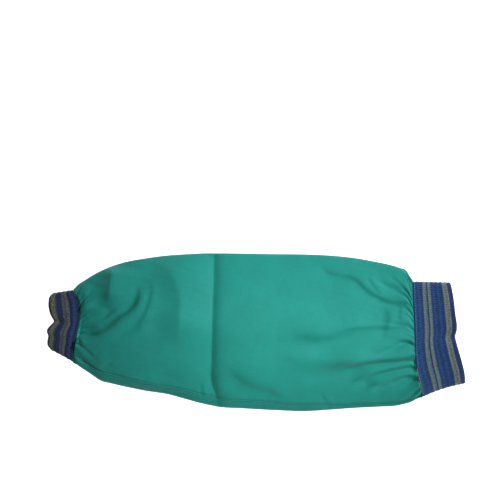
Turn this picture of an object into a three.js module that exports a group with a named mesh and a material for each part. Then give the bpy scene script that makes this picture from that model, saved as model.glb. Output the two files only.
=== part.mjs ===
// A welding sleeve lying flat on a table: a tapered tube of green work cotton, closed by a folded
// side seam and gathered at both ends into striped elastic knit cuffs. Every wall is hollow inside,
// so an arm can go in at the wide cuff and a hand out at the narrow one.
// Millimetres, +Z up from the table, +X from the wrist to the upper arm, and +Y towards the plain
// folded edge, called far here. The seamed edge is called near.
import * as THREE from "three";

// The whole sleeve
const sleeveLength = 530; // free edge of the wrist cuff to free edge of the arm cuff
const bodyFlat = 200; // width of the cloth tube, laid flat
const bodyRise = 34; // height of its fullest puff above the table
const foldHeight = 3.5; // height of the folded edges above the table

// Walls and fits
const clothWall = 1.5; // cotton
const knitWall = 2.4; // elastic knit
const lap = 8; // gathered cloth sewn inside each cuff
const clearance = 0.3; // between any two pieces

// Wrist cuff
const wristBand = 32; // free edge to seam
const wristEdgeFlat = 72; // width at the free edge, laid flat
const wristSeamFlat = 88; // width at the seam
const wristRise = 16; // height above the table
const wristEdgeShift = 13.5; // sideways lie of the free edge, towards +Y
const wristSeamShift = 8;
const wristEdgeSlant = 3; // how much further along the far corner lies than the near one
const wristSeamSlant = 0;
const wristSeamBow = 5; // how far the seam bulges towards the body in the middle

// Arm cuff
const armBand = 50;
const armEdgeFlat = 126;
const armSeamFlat = 144;
const armRise = 22;
const armEdgeShift = -1;
const armSeamShift = -9;
const armEdgeSlant = -18.5;
const armSeamSlant = -14.5;
const armSeamBow = -4;

const cuffFold = 0.3; // height of a cuff's folded edges above the table, as a share of its rise

// Side seam: the turned edge of the cloth, stitched down along the near fold
const seamWidth = 9;
const seamThick = 1;

// Gathers
const gatherHeight = 1.8; // crest above the smooth cloth
const wristGathers = 6; // crests across one face of the sleeve
const armGathers = 8;

// Fineness of the faceted walls
const topColumns = 35;
const seamColumns = 3;
const bottomColumns = 26;
const cuffSteps = 3; // from a cuff's free edge to the cloth inside it
const longestStep = 21; // between two rows of the body

const named = (columns, rows) =>
  rows.map((row) => Object.fromEntries(row.map((value, i) => [columns[i], value])));

// Sections of the cloth, as shares. farAt and nearAt place a section's two ends between the cuffs'
// seams. farFill, nearFill and riseFill run from 0 at the nearer cuff's size to 1 at the body's own,
// and gather is a share of gatherHeight. The last wristward row is the crease where it was folded.
const sectionColumns = ["farAt", "nearAt", "farFill", "nearFill", "riseFill", "gather"];
const wristwardSections = named(sectionColumns, [
  [0.0, 0.0, 0.0, 0.0, 0.0, 0.0],
  [0.013, 0.013, 0.17, 0.1, 0.08, 0.5],
  [0.034, 0.036, 0.31, 0.24, 0.22, 0.95],
  [0.063, 0.068, 0.47, 0.35, 0.42, 1.0],
  [0.101, 0.105, 0.63, 0.45, 0.62, 0.75],
  [0.151, 0.153, 0.76, 0.52, 0.78, 0.4],
  [0.21, 0.21, 0.86, 0.6, 0.86, 0.15],
  [0.275, 0.267, 0.94, 0.66, 0.84, 0.0],
  [0.343, 0.327, 0.98, 0.77, 0.76, 0.0],
  [0.39, 0.364, 1.0, 0.84, 0.68, 0.0],
  [0.419, 0.391, 1.0, 0.88, 0.62, 0.0],
]);
const armwardSections = named(sectionColumns, [
  [0.443, 0.415, 1.0, 0.71, 0.6, 0.0],
  [0.504, 0.483, 0.99, 0.81, 0.82, 0.0],
  [0.593, 0.574, 0.97, 0.93, 0.98, 0.0],
  [0.681, 0.663, 0.95, 1.0, 1.0, 0.0],
  [0.769, 0.754, 0.9, 0.87, 0.9, 0.15],
  [0.837, 0.822, 0.81, 0.76, 0.74, 0.4],
  [0.89, 0.879, 0.69, 0.68, 0.56, 0.8],
  [0.931, 0.922, 0.56, 0.59, 0.4, 1.0],
  [0.961, 0.953, 0.44, 0.4, 0.24, 0.9],
  [0.984, 0.977, 0.3, 0.2, 0.1, 0.5],
  [1.0, 1.0, 0.0, 0.0, 0.0, 0.0],
]);

// Wavy free edges of the knit, from the far corner to the near one: how far the edge draws back,
// as a share of the band, and how far its upper face lifts, as a share of the cuff's rise.
const waveColumns = ["across", "back", "lift"];
const wristWave = named(waveColumns, [
  [0.0, 0.06, 0.0],
  [0.12, -0.01, 0.1],
  [0.3, 0.02, 0.08],
  [0.49, 0.2, -0.14],
  [0.57, 0.06, 0.02],
  [0.67, 0.0, 0.12],
  [0.76, 0.05, -0.02],
  [0.87, 0.0, 0.08],
  [1.0, 0.06, 0.0],
]);
const armWave = named(waveColumns, [
  [0.0, 0.0, 0.0],
  [0.25, -0.02, 0.05],
  [0.43, -0.03, 0.07],
  [0.52, 0.04, -0.08],
  [0.7, 0.02, 0.03],
  [1.0, 0.0, 0.0],
]);

// Valleys pressed into the upper face, each along a curve from start over bend to end. Places are
// shares of the sleeve's length from the wrist and of the flat body's width from its middle. depth
// is a share of the body's rise, and the two widths are shares of its flat width.
const foldColumns = [
  ...["startX", "startY", "bendX", "bendY", "endX", "endY"],
  ...["depth", "wristWidth", "armWidth"],
];
const folds = named(foldColumns, [
  [0.407, 0.5, 0.393, 0.05, 0.396, -0.46, 0.14, 0.012, 0.07], // crease across the middle
  [0.085, 0.0, 0.205, 0.02, 0.222, 0.28, 0.14, 0.035, 0.035], // strong curl out of the wrist cuff
  [0.25, 0.42, 0.345, 0.12, 0.27, -0.1, 0.12, 0.06, 0.05], // broad hollow before the crease
  [0.66, 0.41, 0.75, 0.3, 0.85, 0.18, 0.1, 0.035, 0.035], // valley into the arm cuff, far side
  [0.6, -0.28, 0.72, -0.2, 0.87, -0.17, 0.13, 0.04, 0.04], // valley into the arm cuff, near side
  [0.73, -0.32, 0.8, -0.22, 0.87, -0.22, 0.08, 0.025, 0.025], // its shorter neighbour
]);

const { lerp, clamp } = THREE.MathUtils;

// One end of a cuff, as a section with its two corners in plan.
function cuffEnd({ x, slant, flat, shift, rise, bow }) {
  return {
    farX: x + slant,
    nearX: x,
    farY: shift + flat / 2,
    nearY: shift - flat / 2,
    rise,
    fold: rise * cuffFold,
    bow,
    gather: 0,
  };
}

const wristEdge = cuffEnd({
  x: 0,
  slant: wristEdgeSlant,
  flat: wristEdgeFlat,
  shift: wristEdgeShift,
  rise: wristRise,
  bow: 0,
});
const wristSeam = cuffEnd({
  x: wristBand,
  slant: wristSeamSlant,
  flat: wristSeamFlat,
  shift: wristSeamShift,
  rise: wristRise,
  bow: wristSeamBow,
});
const armSeam = cuffEnd({
  x: sleeveLength - armBand,
  slant: armSeamSlant,
  flat: armSeamFlat,
  shift: armSeamShift,
  rise: armRise,
  bow: armSeamBow,
});
const armEdge = cuffEnd({
  x: sleeveLength,
  slant: armEdgeSlant,
  flat: armEdgeFlat,
  shift: armEdgeShift,
  rise: armRise,
  bow: 0,
});

// A section of the cloth, between the seam of the cuff it belongs to and the body's full size. Its
// folded edges have the body's own height from a riseFill of foldFull on.
const foldFull = 0.5;
function clothSection(row, seam) {
  return {
    farX: lerp(wristSeam.farX, armSeam.farX, row.farAt),
    nearX: lerp(wristSeam.nearX, armSeam.nearX, row.nearAt),
    farY: lerp(seam.farY, bodyFlat / 2, row.farFill),
    nearY: lerp(seam.nearY, -bodyFlat / 2, row.nearFill),
    rise: lerp(seam.rise, bodyRise, row.riseFill),
    fold: lerp(seam.fold, foldHeight, clamp(row.riseFill / foldFull, 0, 1)),
    bow: lerp(wristSeam.bow, armSeam.bow, row.farAt),
    gather: row.gather * gatherHeight,
  };
}

const clothSections = [
  ...wristwardSections.map((row) => clothSection(row, wristSeam)),
  ...armwardSections.map((row) => clothSection(row, armSeam)),
];

const middleOf = (section) => (section.farX + section.nearX) / 2;

// A smooth curve through a table: the named columns of its rows, as functions of a place.
function through(rows, place, columns) {
  const track = new THREE.CubicInterpolant(
    rows.map(place),
    rows.flatMap((row) => columns.map((column) => row[column])),
    columns.length
  );
  return (at) => {
    const values = track.evaluate(at);
    return Object.fromEntries(columns.map((column, i) => [column, values[i]]));
  };
}

// How deep the valleys are at a place in plan, in millimetres. Each is deepest half way along its
// curve, and keeps a little of its depth at both ends.
const curvePoints = 12;
const endShare = 0.12; // of the way along, where a valley stops getting shallower
const foldPaths = folds.map((fold) => ({
  ...fold,
  points: new THREE.QuadraticBezierCurve(
    new THREE.Vector2(fold.startX * sleeveLength, fold.startY * bodyFlat),
    new THREE.Vector2(fold.bendX * sleeveLength, fold.bendY * bodyFlat),
    new THREE.Vector2(fold.endX * sleeveLength, fold.endY * bodyFlat)
  ).getPoints(curvePoints),
}));

function valleyDepth(x, y) {
  let depth = 0;
  for (const fold of foldPaths) {
    let nearest = { distance: Infinity };
    fold.points.slice(1).forEach((end, i) => {
      const start = fold.points[i];
      const run = end.clone().sub(start);
      const to = new THREE.Vector2(x, y).sub(start);
      const share = clamp(to.dot(run) / run.lengthSq(), 0, 1);
      const distance = to.sub(run.clone().multiplyScalar(share)).length();
      const armSide = run.cross(new THREE.Vector2(x, y).sub(start)) > 0;
      if (distance < nearest.distance) {
        nearest = { distance, armSide, along: (i + share) / (fold.points.length - 1) };
      }
    });
    const width = (nearest.armSide ? fold.armWidth : fold.wristWidth) * bodyFlat;
    const taper = Math.sin(Math.PI * clamp(nearest.along, endShare, 1 - endShare));
    depth += fold.depth * bodyRise * taper * Math.exp(-((nearest.distance / width) ** 2));
  }
  return depth;
}

// A flattened tube through the given sections. Its round-the-tube angle is 0 at the far fold, pi at
// the near fold and between them on the upper face. The two folds are half circles of the fold's
// height, the upper face is a crown between them, and the lower face lies flat on the table.
const flatFrom = 0.5; // sine of the angle where the lower face reaches the table
const crownPower = 2;
const valleyFrom = 0.33; // sine of the angle where a valley has its full depth
const surfaceStep = 0.01; // millimetres along, or radians round, to either side of a point
const columnsOfSection = ["farX", "nearX", "farY", "nearY", "rise", "fold", "bow", "gather"];

function flattenedTube(sections, { wave = () => ({ back: 0, lift: 0 }), valleys = () => 0 }) {
  const sectionAt = through(sections, middleOf, columnsOfSection);

  function smooth(at, angle) {
    const section = sectionAt(at);
    const across = (1 - Math.cos(angle)) / 2;
    const up = Math.sin(angle);
    const rounding = 1 - clamp(Math.abs(up) / flatFrom, 0, 1);
    const curl = section.fold * Math.sqrt(1 - rounding ** 2);
    const crown = (section.rise - 2 * section.fold) * Math.max(up, 0) ** crownPower;
    const edge = wave(at, across);
    return new THREE.Vector3(
      lerp(section.farX, section.nearX, across) + section.bow * Math.sin(angle) ** 2 + edge.back,
      lerp(section.farY, section.nearY, across),
      up > 0 ? section.fold + curl + crown + edge.lift * up : section.fold - curl
    );
  }

  // A point at a depth under the smooth surface. Gathers and valleys move both faces of a wall, and
  // whatever would go through the table is pressed flat on it, rest above it.
  function point(at, angle, depth, rest, crest = 0) {
    const here = smooth(at, angle);
    const along = smooth(at + surfaceStep, angle).sub(smooth(at - surfaceStep, angle));
    const round = smooth(at, angle + surfaceStep).sub(smooth(at, angle - surfaceStep));
    const outward = round.cross(along).normalize();
    const section = sectionAt(at);
    const upper = clamp(Math.sin(angle) / valleyFrom, 0, 1);
    const relief = section.gather * crest - valleys(here.x, here.y) * upper;
    here.addScaledVector(outward, relief - depth);
    here.z = Math.max(here.z, rest);
    return here;
  }

  return { sectionAt, point };
}

// The waves of a free edge, which die away before the band reaches the cloth sewn inside it.
const cuffWave = (table, edge, lapLine) => {
  const waveAt = through(table, (row) => row.across, ["back", "lift"]);
  const free = lapLine - middleOf(edge);
  return (at, across) => {
    const share = clamp((lapLine - at) / free, 0, 1) ** 2;
    const { back, lift } = waveAt(across);
    return { back: back * free * share, lift: lift * edge.rise * share };
  };
};

const wristLap = middleOf(wristSeam) - lap;
const armLap = middleOf(armSeam) + lap;
const wristTube = flattenedTube([wristEdge, wristSeam], {
  wave: cuffWave(wristWave, wristEdge, wristLap),
});
const armTube = flattenedTube([armSeam, armEdge], { wave: cuffWave(armWave, armEdge, armLap) });
const clothTube = flattenedTube(clothSections, { valleys: valleyDepth });

// Angles round the tube, spread so that they are nearly even across each face. Those over the side
// seam keep their real distance from the near fold, so the seam's edge is a line of vertices.
const evenness = 0.6;
const spread = (share, last) =>
  lerp(share * last, Math.acos(1 - share * (1 - Math.cos(last))), evenness);

function columnsAt(section) {
  const flat = section.farY - section.nearY;
  const fromNear = (distance) => Math.acos(-1 + (2 * distance) / flat);
  const seamLine = fromNear(seamWidth);
  const top = Array.from({ length: topColumns }, (_, i) => ({
    angle: spread(i / topColumns, seamLine),
    share: i / topColumns,
  }));
  const seam = Array.from({ length: seamColumns }, (_, i) => ({
    angle: fromNear(seamWidth * (1 - i / seamColumns)),
    share: 1,
  }));
  const bottom = Array.from({ length: bottomColumns }, (_, i) => ({
    angle: Math.PI + spread(i / bottomColumns, Math.PI),
    share: 1 - i / bottomColumns,
  }));
  return [...top, ...seam, ...bottom];
}

// Crests and hollows of the gathers, from 1 to -1 across a face, a little uneven as in sewn cloth.
const unevenness = 0.7;
const unevenTurns = 1.7;
const crestAt = (share, count) =>
  Math.cos(2 * Math.PI * count * share + unevenness * Math.sin(2 * Math.PI * unevenTurns * share));

// A closed wall between an outer and an inner grid of points, each a list of rows. A ring wall
// joins up round the tube, and a strip has two more sides.
function closedWall(outer, inner, isRing) {
  const rows = outer.length;
  const columns = outer[0].length;
  const positions = [...outer, ...inner].flat().flatMap((p) => [p.x, p.y, p.z]);
  const outside = (r, c) => r * columns + (c % columns);
  const inside = (r, c) => rows * columns + outside(r, c);
  const index = [];
  const face = (a, b, c, d) => index.push(a, b, c, a, c, d);
  const spans = isRing ? columns : columns - 1;
  for (let c = 0; c < spans; c++) {
    for (let r = 0; r < rows - 1; r++) {
      face(outside(r, c), outside(r, c + 1), outside(r + 1, c + 1), outside(r + 1, c));
      face(inside(r, c), inside(r + 1, c), inside(r + 1, c + 1), inside(r, c + 1));
    }
    const end = rows - 1;
    face(outside(0, c), inside(0, c), inside(0, c + 1), outside(0, c + 1));
    face(outside(end, c), outside(end, c + 1), inside(end, c + 1), inside(end, c));
  }
  if (!isRing) {
    for (let r = 0; r < rows - 1; r++) {
      const last = columns - 1;
      face(outside(r, 0), outside(r + 1, 0), inside(r + 1, 0), inside(r, 0));
      face(outside(r, last), inside(r, last), inside(r + 1, last), outside(r + 1, last));
    }
  }
  const geometry = new THREE.BufferGeometry();
  geometry.setAttribute("position", new THREE.Float32BufferAttribute(positions, 3));
  geometry.setIndex(index);
  geometry.computeVertexNormals();
  return geometry;
}

const evenSteps = (from, to, count) =>
  Array.from({ length: count + 1 }, (_, i) => lerp(from, to, i / count));

// A cuff: a knit ring from its free edge, over the cloth's lap, to just short of the seam's line.
function cuffGeometry(tube, edge, lapLine, seamLine) {
  const places = [...evenSteps(edge, lapLine, cuffSteps), seamLine];
  if (seamLine < edge) places.reverse();
  const rows = (depth) =>
    places.map((at) =>
      columnsAt(tube.sectionAt(at)).map(({ angle }) => tube.point(at, angle, depth, depth))
    );
  return closedWall(rows(0), rows(knitWall), true);
}

// Cloth body: its necks lie inside the cuffs, and between the seams it follows the cloth sections.
function clothPlaces() {
  const places = clothSections.map(middleOf);
  return places.slice(1, -1).flatMap((place, i) => {
    const next = places[i + 2];
    const isLast = i === places.length - 3;
    const parts = isLast ? 1 : Math.ceil((next - place) / longestStep);
    return evenSteps(place, next, parts).slice(0, -1);
  });
}

const clothRows = clothPlaces();
const crease = middleOf(clothSections[wristwardSections.length - 1]);
const gathersAt = (at) => (at < crease ? wristGathers : armGathers);

function clothGrid(depth, rest) {
  const neck = (tube, places) =>
    places.map((at) =>
      columnsAt(tube.sectionAt(at)).map(({ angle }) =>
        tube.point(at, angle, knitWall + clearance + depth, knitWall + clearance + rest)
      )
    );
  const wristNeck = neck(wristTube, [wristLap, middleOf(wristSeam)]);
  const armNeck = neck(armTube, [middleOf(armSeam), armLap]);
  const body = clothRows.map((at) =>
    columnsAt(clothTube.sectionAt(at)).map(({ angle, share }) =>
      clothTube.point(at, angle, depth, rest, crestAt(share, gathersAt(at)))
    )
  );
  return [...wristNeck, ...body, ...armNeck];
}

// Side seam: a strip of turned cloth on the upper face, from the near fold to the stitched line.
function sideSeamGrid(depth) {
  return clothRows.map((at) =>
    columnsAt(clothTube.sectionAt(at))
      .slice(topColumns, topColumns + seamColumns + 1)
      .map(({ angle, share }) =>
        clothTube.point(at, angle, depth, 0, crestAt(share, gathersAt(at)))
      )
  );
}

const cotton = new THREE.MeshStandardMaterial({ color: "#2a9484", roughness: 0.9, metalness: 0 });
const knit = new THREE.MeshStandardMaterial({ color: "#2f478f", roughness: 0.95, metalness: 0 });

const sleeve = new THREE.Group();
function addPiece(name, geometry, material) {
  const piece = new THREE.Mesh(geometry, material);
  piece.name = name;
  sleeve.add(piece);
}

addPiece("sleeve_body", closedWall(clothGrid(0, 0), clothGrid(clothWall, clothWall), true), cotton);
addPiece(
  "side_seam",
  closedWall(sideSeamGrid(-clearance - seamThick), sideSeamGrid(-clearance), false),
  cotton.clone()
);
addPiece(
  "wrist_cuff",
  cuffGeometry(wristTube, middleOf(wristEdge), wristLap, middleOf(wristSeam) - clearance),
  knit
);
addPiece(
  "arm_cuff",
  cuffGeometry(armTube, middleOf(armEdge), armLap, middleOf(armSeam) + clearance),
  knit.clone()
);

// The origin is on the table, under the middle of the sleeve's outline.
const outline = new THREE.Box3().setFromObject(sleeve);
sleeve.position.set(-(outline.min.x + outline.max.x) / 2, -(outline.min.y + outline.max.y) / 2, 0);

export default sleeve;
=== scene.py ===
"""A welding sleeve of green work cotton with striped knit cuffs, lying flat on a pale table.

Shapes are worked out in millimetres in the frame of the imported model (+X from the wrist to the
upper arm, +Y to the plain folded edge, called far, +Z up) and put into meshes in metres.
"""
from math import pi, radians

import bpy
import numpy as np
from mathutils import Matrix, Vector


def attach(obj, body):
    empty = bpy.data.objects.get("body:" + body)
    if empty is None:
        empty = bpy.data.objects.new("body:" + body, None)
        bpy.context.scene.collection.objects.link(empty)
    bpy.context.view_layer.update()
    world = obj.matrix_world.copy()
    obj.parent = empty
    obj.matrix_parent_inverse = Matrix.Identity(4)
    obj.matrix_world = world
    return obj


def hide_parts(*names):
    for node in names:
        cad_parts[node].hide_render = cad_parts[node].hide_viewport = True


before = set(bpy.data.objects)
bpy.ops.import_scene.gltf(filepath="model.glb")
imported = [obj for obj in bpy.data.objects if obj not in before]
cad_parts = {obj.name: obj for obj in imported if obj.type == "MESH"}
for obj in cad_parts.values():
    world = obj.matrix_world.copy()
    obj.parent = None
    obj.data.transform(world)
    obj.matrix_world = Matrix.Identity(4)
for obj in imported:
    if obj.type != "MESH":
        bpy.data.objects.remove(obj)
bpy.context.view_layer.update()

MM = 0.001

# Sizes of the sleeve, in millimetres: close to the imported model's, but with walls as thick as the
# real ones

BODY_FLAT = 200
BODY_RISE = 34
FOLD_HEIGHT = 3.5
CLOTH = 0.7  # thickness of the cotton
KNIT = 1.8  # thickness of the elastic knit
LAP = 8  # gathered cloth sewn inside each cuff
NECK_DEPTH = 2.7  # from a cuff's outer face to the cloth inside it
CLEARANCE = 0.05  # least height of the sleeve above the table

# Ends of the two cuffs: x of the near corner, how far the far corner leans, flat width, sideways
# shift and rise.
CUFF_COLUMNS = ("x", "slant", "flat", "shift", "rise")
WRIST_EDGE = dict(zip(CUFF_COLUMNS, (-261.7, 3, 71.4, 13.8, 16)))
WRIST_SEAM = dict(zip(CUFF_COLUMNS, (-232.8, 0, 91, 7.8, 16)))
ARM_SEAM = dict(zip(CUFF_COLUMNS, (210.9, -13.6, 145.8, -8.8, 22)))
ARM_EDGE = dict(zip(CUFF_COLUMNS, (263.9, -19, 128, -1, 22)))
CUFF_FOLD = 0.3  # height of a cuff's folded edges, as a share of its rise
WRIST_WAIST = 0.5  # how far the near edge of each cuff draws in between its ends
ARM_WAIST = 2.2
REACH = ARM_SEAM["x"] - WRIST_SEAM["x"]  # length of the cloth between the seams
MIDDLE = 0.42  # share of the way up to which the cloth's folds follow the wrist cuff's
ROUNDED = 0.5  # sine of the angle at which a fold's half circle meets the upper face
BOW_POWER = 6  # how fast the bow of a seam's line dies away into the cloth

# How far each end's line stands off the straight line between its corners, in millimetres along
# the sleeve, from the far corner to the near one.
WRIST_SEAM_BOW = np.array(
    [(0, 0), (0.13, 7), (0.31, 10), (0.45, 9), (0.58, 6.5), (0.72, 4), (0.87, 1.5), (1, 0)]
)
ARM_SEAM_BOW = np.array(
    [
        (0, 0), (0.07, -1.4), (0.17, -2.5), (0.3, -3.4), (0.44, -4.5), (0.58, -6), (0.7, -6.5),
        (0.8, -5.3), (0.89, -2.8), (1, 0),
    ]
)  # fmt: skip
WRIST_EDGE_BOW = np.array(
    [
        (0, 0), (0.05, -2.8), (0.15, -4), (0.3, -2.6), (0.44, 1), (0.5, 3.4), (0.55, 0.6),
        (0.63, -3.6), (0.71, -4.1), (0.76, -2.6), (0.81, -3), (0.88, -3.5), (0.95, -2.6), (1, 0),
    ]
)  # fmt: skip
ARM_EDGE_BOW = np.array(
    [
        (0, 0), (0.07, 0.6), (0.19, 0.6), (0.31, -0.2), (0.43, -0.6), (0.48, -1.8), (0.53, -4.4),
        (0.58, -4.2), (0.67, -2.8), (0.77, -1), (0.89, 0.6), (1, 0),
    ]
)  # fmt: skip

# Outline of the cloth between the cuffs' seams: place as a share of the way from the wrist, and
# distance of the edge from the middle line, as a share of half the flat width.
FAR_EDGE = np.array(
    [
        (0, 0.533), (0.013, 0.595), (0.034, 0.656), (0.063, 0.733), (0.101, 0.813),
        (0.151, 0.885), (0.21, 0.933), (0.275, 0.971), (0.343, 0.99), (0.39, 1), (0.419, 1),
        (0.443, 1), (0.504, 0.996), (0.593, 0.99), (0.681, 0.986), (0.769, 0.968),
        (0.837, 0.935), (0.89, 0.893), (0.931, 0.856), (0.961, 0.818), (0.984, 0.768), (1, 0.64),
    ]
)  # fmt: skip
NEAR_EDGE = np.array(
    [
        (0, 0.377), (0.013, 0.419), (0.036, 0.484), (0.055, 0.543), (0.072, 0.597),
        (0.083, 0.622), (0.105, 0.645),
        (0.153, 0.693), (0.21, 0.744), (0.267, 0.782), (0.327, 0.853), (0.364, 0.898),
        (0.391, 0.923), (0.415, 0.945), (0.483, 0.964), (0.574, 0.987), (0.663, 1),
        (0.754, 0.975), (0.822, 0.954), (0.879, 0.942), (0.922, 0.93), (0.953, 0.899),
        (0.977, 0.862), (1, 0.822),
    ]
)  # fmt: skip
# Height of the upper face's crown along the same way.
RISE = np.array(
    [
        (0, 16), (0.013, 18), (0.035, 20.5), (0.065, 23.4), (0.103, 26.3), (0.152, 28.9),
        (0.21, 30.9), (0.27, 31.6), (0.335, 31.4), (0.4, 31.2), (0.455, 32), (0.52, 32.8),
        (0.58, 33.2), (0.67, 33.1), (0.76, 32.4), (0.83, 30.9), (0.885, 29.4), (0.927, 27.9),
        (0.957, 26.5), (0.98, 24.8), (1, 22),
    ]
)  # fmt: skip

# How far the upper face of each free edge lifts, as a share of the cuff's rise
WRIST_LIFT = np.array(
    [
        (0, 0), (0.12, 0.1), (0.25, 0.12), (0.38, 0.02), (0.48, -0.16), (0.56, -0.02),
        (0.66, 0.12), (0.76, -0.02), (0.86, 0.08), (1, 0),
    ]
)  # fmt: skip
ARM_LIFT = np.array(
    [(0, 0), (0.25, 0.05), (0.43, 0.07), (0.53, -0.12), (0.62, 0), (0.75, 0.04), (1, 0)]
)

# Folds of the cloth: crests and creases, each along a line in plan. The columns are the height of
# the crest above the smooth cloth, or below 0 for a crease, its width to the left and right of the
# way along the line, how round it is (1 comes to a sharp line, 2 is round), the share of the line
# over which it fades in and out, and the line.
CRESTS = [
    # Crease across the middle, from when the sleeve was stored folded: a sharp line in a wide dip
    (-2.9, 7.5, 12, 1.1, 0.03, 0.12, [(-53.4, 103), (-53.9, 90), (-54.7, 53), (-56.2, 2.5),
     (-57.2, -38), (-57.7, -60), (-55.4, -70), (-50, -84), (-48, -97)]),
    (-2.1, 8, 60, 1.4, 0.03, 0.03, [(-53.4, 103), (-54.7, 53), (-57.2, -38), (-57.7, -60),
     (-48, -97)]),
    # Broad roll between the curl and the crease
    (7.8, 60, 21, 1.3, 0.3, 0.35, [(-130, 94), (-120, 86), (-108, 73), (-99, 55), (-96, 38),
     (-97, 20), (-99, -3), (-100, -30)]),
    # Crest beside the far edge near the wrist, with a dent to its left
    (6.0, 24, 12, 1.3, 0.25, 0.4, [(-181.3, 86), (-182, 75), (-183.3, 61), (-186, 43), (-194, 29)]),
    # Valley under the curl's start
    (-3.9, 5, 3.4, 1.3, 0.05, 0.4, [(-236, -6), (-218, -4.5), (-204, -2), (-192, 4), (-180, 11),
     (-168, 19.5)]),
    (-2.4, 3.6, 3, 1.3, 0.06, 0.45, [(-236, -6.5), (-222, -5.5), (-208, -3), (-194, 2.5)]),
    # Puffed cloth between that dent and the cuff
    (2.4, 15, 6, 1.6, 0.35, 0.3, [(-212, 62), (-216, 48), (-216, 34), (-214, 18)]),
    # Long crest into the arm cuff on the near side
    (4.4, 22, 15, 1.5, 0.3, 0.35, [(20, -30), (55, -31), (88, -32), (118, -27), (150, -22),
     (176, -10)]),
]  # fmt: skip
# Steps, where the cloth rises steeply from the left of a line to its right. The columns are half
# the rise, the width of the steep part, how far the cloth takes to come back on the left and on the
# right, the share of the line over which it fades in and out, and the line.
STEPS = [
    # Curl out of the wrist cuff, its outer echoes and the loop inside it
    (4.8, 4.4, 14, 22, 0.03, 0.3, [(-234, -3), (-206.4, -0.5), (-196.2, 3.8), (-186, 9.6),
     (-173.4, 17.8), (-160.7, 26.6), (-153, 34.3), (-149.3, 43), (-148.5, 50), (-152, 57),
     (-158, 60)]),
    (1.4, 2.8, 7, 10, 0.5, 0.25, [(-176, -4), (-158, 4), (-146, 15), (-138, 30), (-134, 43),
     (-132.5, 55), (-134, 66)]),
    (2.2, 7, 14, 16, 0.3, 0.3, [(-192, -11), (-168, -5), (-150, 4), (-138, 18)]),
    (1.8, 2.8, 6, 8, 0.2, 0.3, [(-212, 13), (-202, 14), (-192, 18), (-183, 26), (-172, 31),
     (-160, 31)]),
    # Short pleats at the wrist cuff
    (1.2, 2, 5, 6, 0.15, 0.3, [(-204, -30), (-213, -22), (-224, -14)]),
    (1.2, 1.8, 5, 6, 0.15, 0.3, [(-218, -17), (-222, -10), (-228, -3)]),
    (0.9, 2.5, 6, 8, 0.3, 0.3, [(-182, -36), (-192, -40), (-200, -43)]),
    # Soft dent along the near edge
    (2.4, 7, 18, 24, 0.3, 0.3, [(38, -88), (28, -80), (16, -73), (2, -70), (-22, -58), (-40, -44)]),
    # Valleys and crests into the arm cuff
    (2.3, 2.8, 14, 16, 0.1, 0.25, [(200, 35), (180, 37.5), (166.6, 38.3), (156.4, 43),
     (143.7, 49.5), (133.6, 58.4), (126, 66), (115.8, 69.8), (100.6, 72.3), (89.2, 76),
     (84.4, 84), (85.5, 95)]),
    (1.1, 2.6, 6, 8, 0.3, 0.3, [(160, 47), (151, 54), (145, 63), (141, 72)]),
    (1.2, 2.6, 6, 8, 0.2, 0.3, [(196, 50), (180, 55.5), (168, 59), (154, 68.5)]),
    (2.5, 3.6, 10, 12, 0.1, 0.4, [(200, 6), (170, 6.3), (143.7, 5.6), (123, 5), (110.7, 2.5),
     (100.6, -1.3), (88, -9)]),
    (6.4, 11, 18, 20, 0.35, 0.5, [(150, 3), (128, 1), (108, -3), (88, -7), (66, -10),
     (44, -16)]),
    (6.4, 14, 24, 28, 0.45, 0.6, [(112, -4), (86, -7), (56, -6), (28, -11), (0, -21)]),
    (6.2, 3.4, 10, 11, 0.05, 0.35, [(204, -33), (180, -34.5), (159, -35.5), (143.7, -36.5),
     (128.5, -38.5), (116, -40.5), (102, -45), (90, -50)]),
    (5.4, 10, 18, 19, 0.3, 0.45, [(150, -42), (120, -43), (98, -43.5), (80, -46), (62, -52),
     (48, -60)]),
    (5.6, 2.9, 6.5, 7, 0.14, 0.25, [(206, -42), (184, -44.6), (164, -48.4), (148.8, -52.4),
     (133.6, -60), (119, -67)]),
    (5.8, 2.9, 6.5, 7, 0.25, 0.25, [(206, -53), (184.3, -56), (169, -61), (156, -66), (140, -72)]),
    (3.0, 2.8, 7, 8, 0.12, 0.25, [(202, -13), (179, -12), (169, -17), (159, -22), (144, -28)]),
    (1.8, 5, 9, 10, 0.3, 0.3, [(160, -6), (163, 8), (165, 20), (164.5, 34)]),
    (1.3, 2.8, 5, 6, 0.3, 0.3, [(180, 14), (181, 24), (182.5, 36)]),
    # The seam's strip falls away to the near edge
    (1.5, 3, 8, 8, 0.25, 0.25, [(-76, -82), (-110, -75), (-140, -69.5), (-184, -61)]),
    # Puckers where the side seam draws the cloth
    (0.8, 2, 5, 6, 0.15, 0.3, [(96, -94), (90, -89), (86, -84), (83, -76)]),
    (1.0, 1.6, 4, 5, 0.15, 0.3, [(-67, -84), (-68.3, -74), (-68.1, -63)]),
]  # fmt: skip

LINE_STEPS = 40  # points along a fold's line

# Pleats where the cloth is gathered into a cuff, a fine and a coarse row for each end. The columns
# are whether it is the wrist's end, how many there are across one face, how far they reach into the
# cloth, how deep and how wide they are, how far the outer ones lean outwards for each millimetre
# along, and a seed.
PLEATS = [
    (True, 17, 11, 2.2, 1.2, 0.5, 3),
    (True, 7, 20, 1.9, 2.4, 0.4, 11),
    (False, 27, 13, 3.2, 1.2, 0.7, 5),
    (False, 10, 26, 3.2, 2.2, 0.6, 19),
]
UNDERSIDE = 0.25  # the lower face lies under the cloth's weight, so its pleats are a quarter as deep
UNDERSIDE_SEED = 100

# Fine wrinkles of the upper face: height, size and seed. They are up to three times as high beside
# a cuff, and come down to this height over WRINKLE_REACH.
WRINKLES = [(0.1, 34, 7), (0.05, 13, 8)]
WRINKLE_REACH = 60

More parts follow.
